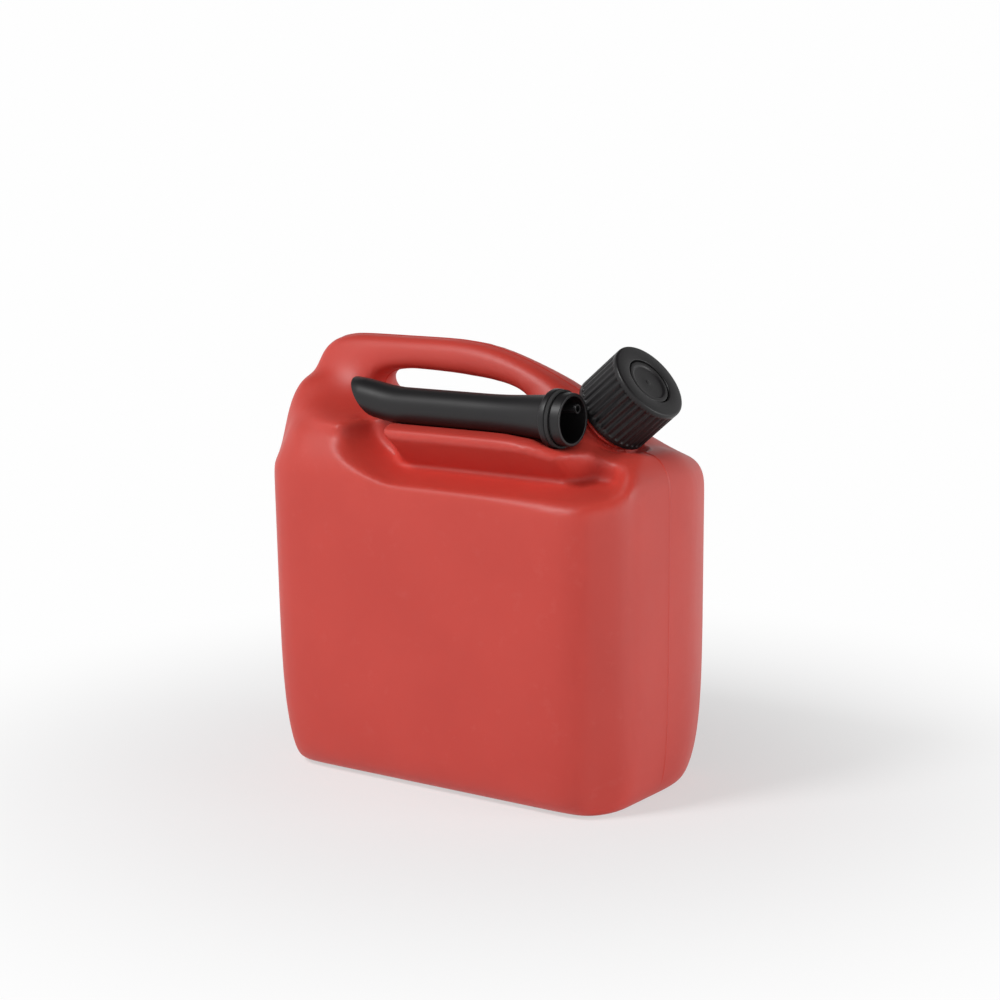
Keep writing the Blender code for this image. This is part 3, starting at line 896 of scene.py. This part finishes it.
makeActive(screwCollar)
pressGrooves(screwCollar)
collarThread = addThread(
    "collar_thread", collar["bore"] + thread["sunk"], collar["threadReach"], collar["threadFrom"]
)
deselectAll()
collarThread.select_set(True)
screwCollar.select_set(True)
bpy.context.view_layer.objects.active = screwCollar
bpy.ops.object.join()
applyPlace(screwCollar, neckPlace)
smoothShade(screwCollar, 40)
finishPiece(screwCollar, blackPolythene, "collar", "screw_collar")
print("screw collar", len(screwCollar.data.polygons))


# The sealing disc, seen through the collar's mouth

disc = {
    "top": 28.9 * mm,
    "thickness": 2.4 * mm,
    "radius": 19.5 * mm,
    "bossRadius": 13.4 * mm,
    "bossHeight": 2.2 * mm,
    "plugRadius": 14.3 * mm,
    "plugWall": 1.5 * mm,
    "plugDepth": 5 * mm,
    "plugLead": 1 * mm,         # its end is chamfered, to find the bore
    "plugChamfer": 0.5 * mm,
    "dishRadius": 11 * mm,
    "dishDepth": 0.8 * mm,
    "gateRadius": 1.6 * mm,     # the mark that the moulding's gate leaves
    "gateSlope": 0.4 * mm,
    "gateHeight": 0.2 * mm,
}

discLow = disc["top"] - disc["thickness"]
bossTop = disc["top"] + disc["bossHeight"]
dishFloor = bossTop - disc["dishDepth"]
discProfile = roundedLoop((
    (0, dishFloor + disc["gateHeight"], 0),
    (disc["gateRadius"] - disc["gateSlope"], dishFloor + disc["gateHeight"], 0.1 * mm),
    (disc["gateRadius"], dishFloor, 0.1 * mm),
    (disc["dishRadius"] - disc["dishDepth"], dishFloor, 0.5 * mm),
    (disc["dishRadius"], bossTop, 0.4 * mm),
    (disc["bossRadius"], bossTop, 0.7 * mm),
    (disc["bossRadius"], disc["top"], 0.3 * mm),
    (disc["radius"], disc["top"], 0.5 * mm),
    (disc["radius"], discLow, 0.5 * mm),
    (disc["plugRadius"], discLow, 0.3 * mm),
    (disc["plugRadius"], discLow - disc["plugDepth"] + disc["plugLead"], 0.3 * mm),
    (disc["plugRadius"] - disc["plugChamfer"], discLow - disc["plugDepth"], 0.3 * mm),
    (disc["plugRadius"] - disc["plugWall"], discLow - disc["plugDepth"], 0.3 * mm),
    (disc["plugRadius"] - disc["plugWall"], discLow, 0.3 * mm),
    (0, discLow, 0),
))[:-1]
capDisc = turnOnAxis("cap_disc", discProfile, roundSteps)
applyPlace(capDisc, neckPlace)
smoothShade(capDisc, 40)
finishPiece(capDisc, blackPolythene, "closure", "sealing_disc")
print("cap disc", len(capDisc.data.polygons))


# The pouring spout

spout = {
    "tip": spoutLow.x,
    "flange": 74 * mm,
    "flangeThickness": 3.8 * mm,
    "flangeRadius": 16 * mm,
    "tube": 10.35 * mm,
    "wall": 1.5 * mm,
    "coneLength": 32 * mm,
    "coneRadius": 12.6 * mm,
    "spigotRadius": 14.3 * mm,
    "spigotWall": 1.9 * mm,
    "end": spoutHigh.x,
    "tipSlope": math.radians(34),
    "tipBend": 34 * mm,         # the last stretch, which turns up a little
    "tipRise": 4 * mm,
    "tipSpare": 2 * mm,         # cut off again by the slope
    "rimRound": 0.35 * mm,
}

flangeEnd = spout["flange"] + spout["flangeThickness"]
spoutBore = spout["tube"] - spout["wall"]
footBore = spout["spigotRadius"] - spout["spigotWall"]
bendEnd = spout["tip"] + spout["tipBend"]
bendRings = [spout["tip"] + share * spout["tipBend"] for share in (0.25, 0.5, 0.75)] + [bendEnd]
spoutProfile = roundedLoop((
    (spoutBore, spout["tip"] - spout["tipSpare"], 0),
    (spout["tube"], spout["tip"] - spout["tipSpare"], 0),
    *[(spout["tube"], ring, 0) for ring in bendRings],
    (spout["tube"], spout["flange"] - spout["coneLength"], 12 * mm),
    (spout["coneRadius"], spout["flange"], 1.2 * mm),
    (spout["flangeRadius"], spout["flange"], 0.8 * mm),
    (spout["flangeRadius"], flangeEnd, 0.8 * mm),
    (spout["spigotRadius"], flangeEnd, 0.3 * mm),
    (spout["spigotRadius"], spout["end"], 0.8 * mm),
    (footBore, spout["end"], 0.4 * mm),
    (footBore, spout["flange"], 4 * mm),
    (spoutBore, spout["flange"] - spout["coneLength"], 8 * mm),
    *[(spoutBore, ring, 0) for ring in reversed(bendRings)],
), 5)
pouringSpout = turnOnAxis("pouring_spout", spoutProfile, roundSteps)


def slopeTip(piece):
    # Cuts the tip on a slope, longer above, and closes the rim between tube and bore
    start = Vector((-spout["tube"], 0, spout["tip"]))
    normal = Vector((math.sin(spout["tipSlope"]), 0, -math.cos(spout["tipSlope"])))
    makeActive(piece)
    bpy.ops.object.mode_set(mode="EDIT")
    bpy.ops.mesh.select_all(action="SELECT")
    bpy.ops.mesh.bisect(plane_co=start, plane_no=normal, clear_outer=True)
    bpy.ops.mesh.select_mode(type="EDGE")
    bpy.ops.mesh.select_all(action="DESELECT")
    bpy.ops.mesh.select_non_manifold()
    bpy.ops.mesh.bridge_edge_loops()
    bpy.ops.mesh.select_all(action="SELECT")
    bpy.ops.mesh.normals_make_consistent(inside=False)
    bpy.ops.object.mode_set(mode="OBJECT")
    edge = piece.modifiers.new("rim", "BEVEL")
    edge.width = spout["rimRound"]
    edge.segments = 2
    edge.limit_method = "ANGLE"
    edge.angle_limit = math.radians(50)
    applyAll(piece)


def bendTip(piece):
    # The tip was formed to turn up a little
    makeActive(piece)
    bpy.ops.object.mode_set(mode="EDIT")
    shape = bmesh.from_edit_mesh(piece.data)
    for vert in shape.verts:
        vert.co.x -= spout["tipRise"] * eased(vert.co.z, bendEnd, spout["tip"])
    bmesh.update_edit_mesh(piece.data)
    bpy.ops.object.mode_set(mode="OBJECT")


slopeTip(pouringSpout)
bendTip(pouringSpout)
applyPlace(pouringSpout, spoutPlace)
smoothShade(pouringSpout, 35)
finishPiece(pouringSpout, blackPolythene, "spout", "spout_tube")
print("pouring spout", len(pouringSpout.data.polygons))


# The nodes that keep their own shape

keptNodes = {"neck_gasket": blackRubber, "spout_gasket": blackRubber, "breather_tube": blackPolythene}
for nodeName, material in keptNodes.items():
    node = frame["nodes"][nodeName]
    node.data.materials.clear()
    node.data.materials.append(material)


# Floor, light and camera

studio = {
    "white": "#FEFEFE",
    "floorColour": "#EDEDEE",
    "floorSize": 12,
    "floorShare": 0.55,         # how white the sheet already looks right under the can
    "floorNear": 0.1,           # m from the can, where it starts to fade into the white behind
    "floorFar": 0.45,
    "wallStrength": 0.7,
    "ceilingStrength": 0.05,
    "ceilingFrom": 0.1,         # height on the unit sphere, where the walls start to darken
    "ceilingTo": 0.7,
    "aim": (0, 0, 0.1),
    "keyPlace": (-0.55, -1.3, 1.6),
    "keySize": 0.6,
    "keyPower": 25.5,
    "fillPlace": (1.9, 0.5, 0.4),
    "fillSize": 1.0,
    "fillPower": 13.5,
}

camera = {
    "yaw": 0.63,                # from the front, towards the neck's end
    "lift": 0.198,
    "roll": -0.015,
    "distance": 1.2624,
    "aim": (0, 0, 0.132),
    "lens": 79.426,
    "sensor": 36,
    "shiftX": 0.0128,
    "shiftY": 0.0436,
}


def paleFloor():
    # A matt paper sheet that takes the can's soft shadow and fades into the white behind
    deselectAll()
    bpy.ops.mesh.primitive_plane_add(size=studio["floorSize"], location=(0, 0, 0))
    floor = bpy.context.object
    floor.name = "studio_floor"
    material = bpy.data.materials.new("pale_paper_sheet")
    material.use_nodes = True
    tree = material.node_tree
    shader = tree.nodes["Principled BSDF"]
    shader.inputs["Base Color"].default_value = linearColour(studio["floorColour"])
    shader.inputs["Roughness"].default_value = 0.9
    shader.inputs["Specular IOR Level"].default_value = 0.2
    where = addNode(tree, "ShaderNodeTexCoord").outputs["Object"]
    away = addNode(tree, "ShaderNodeVectorMath", {"operation": "LENGTH"}, {0: where})
    fade = addNode(
        tree, "ShaderNodeMapRange",
        {
            "interpolation_type": "SMOOTHSTEP",
            "From Min": studio["floorNear"],
            "From Max": studio["floorFar"],
            "To Min": studio["floorShare"],
        },
        {"Value": away.outputs["Value"]},
    )
    rays = addNode(tree, "ShaderNodeLightPath")
    looked = addNode(
        tree, "ShaderNodeMath", {"operation": "MAXIMUM"},
        {0: rays.outputs["Is Camera Ray"], 1: rays.outputs["Is Glossy Ray"]},
    )
    seen = addNode(
        tree, "ShaderNodeMath", {"operation": "MULTIPLY"},
        {0: looked.outputs[0], 1: fade.outputs["Result"]},
    )
    white = addNode(tree, "ShaderNodeEmission", {"Strength": 1.0})
    white.inputs["Color"].default_value = linearColour(studio["white"])
    both = addNode(
        tree, "ShaderNodeMixShader", None,
        {0: seen.outputs[0], 1: shader.outputs[0], 2: white.outputs[0]},
    )
    tree.links.new(both.outputs[0], tree.nodes["Material Output"].inputs["Surface"])
    floor.data.materials.append(material)


def addLamp(name, place, size, power):
    data = bpy.data.lights.new(name, "AREA")
    data.shape = "DISK"
    data.size = size
    data.energy = power
    lamp = bpy.data.objects.new(name, data)
    bpy.context.scene.collection.objects.link(lamp)
    lamp.location = place
    lamp.rotation_euler = (Vector(studio["aim"]) - Vector(place)).to_track_quat("-Z", "Y").to_euler()


def studioWorld():
    # White walls all round under a darker ceiling, and plain white where the camera looks past the can
    world = bpy.data.worlds.new("studio")
    world.use_nodes = True
    bpy.context.scene.world = world
    tree = world.node_tree
    tree.nodes.clear()
    way = addNode(tree, "ShaderNodeTexCoord").outputs["Generated"]
    height = addNode(tree, "ShaderNodeSeparateXYZ", None, {0: way})
    wall = addNode(
        tree, "ShaderNodeMapRange",
        {
            "interpolation_type": "SMOOTHSTEP",
            "From Min": studio["ceilingFrom"],
            "From Max": studio["ceilingTo"],
            "To Min": 1,
            "To Max": 0,
        },
        {"Value": height.outputs["Z"]},
    )
    rays = addNode(tree, "ShaderNodeLightPath")
    mirrored = addNode(
        tree, "ShaderNodeMath", {"operation": "MULTIPLY"},
        {0: rays.outputs["Is Glossy Ray"], 1: wall.outputs["Result"]},
    )
    looked = addNode(
        tree, "ShaderNodeMath", {"operation": "MAXIMUM"},
        {0: rays.outputs["Is Camera Ray"], 1: rays.outputs["Is Transmission Ray"]},
    )
    seen = addNode(
        tree, "ShaderNodeMath", {"operation": "MAXIMUM"},
        {0: looked.outputs[0], 1: mirrored.outputs[0]},
    )
    level = addNode(
        tree, "ShaderNodeMapRange",
        {"To Min": studio["ceilingStrength"], "To Max": studio["wallStrength"]},
        {"Value": wall.outputs["Result"]},
    )
    soft = addNode(tree, "ShaderNodeBackground", None, {"Strength": level.outputs["Result"]})
    soft.inputs["Color"].default_value = (1, 1, 1, 1)
    white = addNode(tree, "ShaderNodeBackground", {"Strength": 1.0})
    white.inputs["Color"].default_value = linearColour(studio["white"])
    both = addNode(
        tree, "ShaderNodeMixShader", None,
        {0: seen.outputs[0], 1: soft.outputs[0], 2: white.outputs[0]},
    )
    addNode(tree, "ShaderNodeOutputWorld", None, {"Surface": both.outputs[0]})


def placeCamera():
    # Where the photograph was taken from
    yaw, lift, roll = camera["yaw"], camera["lift"], camera["roll"]
    away = Vector((math.sin(yaw) * math.cos(lift), -math.cos(yaw) * math.cos(lift), math.sin(lift)))
    right = (-away).cross(Vector((0, 0, 1))).normalized()
    up = right.cross(-away)
    turnedRight = right * math.cos(roll) + up * math.sin(roll)
    turnedUp = up * math.cos(roll) - right * math.sin(roll)
    data = bpy.data.cameras.new("camera")
    data.sensor_width = camera["sensor"]
    data.lens = camera["lens"]
    data.shift_x = camera["shiftX"]
    data.shift_y = camera["shiftY"]
    eye = bpy.data.objects.new("camera", data)
    bpy.context.scene.collection.objects.link(eye)
    turn = Matrix((turnedRight, turnedUp, away)).transposed()
    eye.matrix_world = Matrix.Translation(Vector(camera["aim"]) + away * camera["distance"]) @ turn.to_4x4()
    bpy.context.scene.camera = eye


paleFloor()
studioWorld()
addLamp("key", studio["keyPlace"], studio["keySize"], studio["keyPower"])
addLamp("fill", studio["fillPlace"], studio["fillSize"], studio["fillPower"])
placeCamera()
bpy.context.scene.view_settings.view_transform = "Standard"
print("studio", len(bpy.data.lights), "lamps")
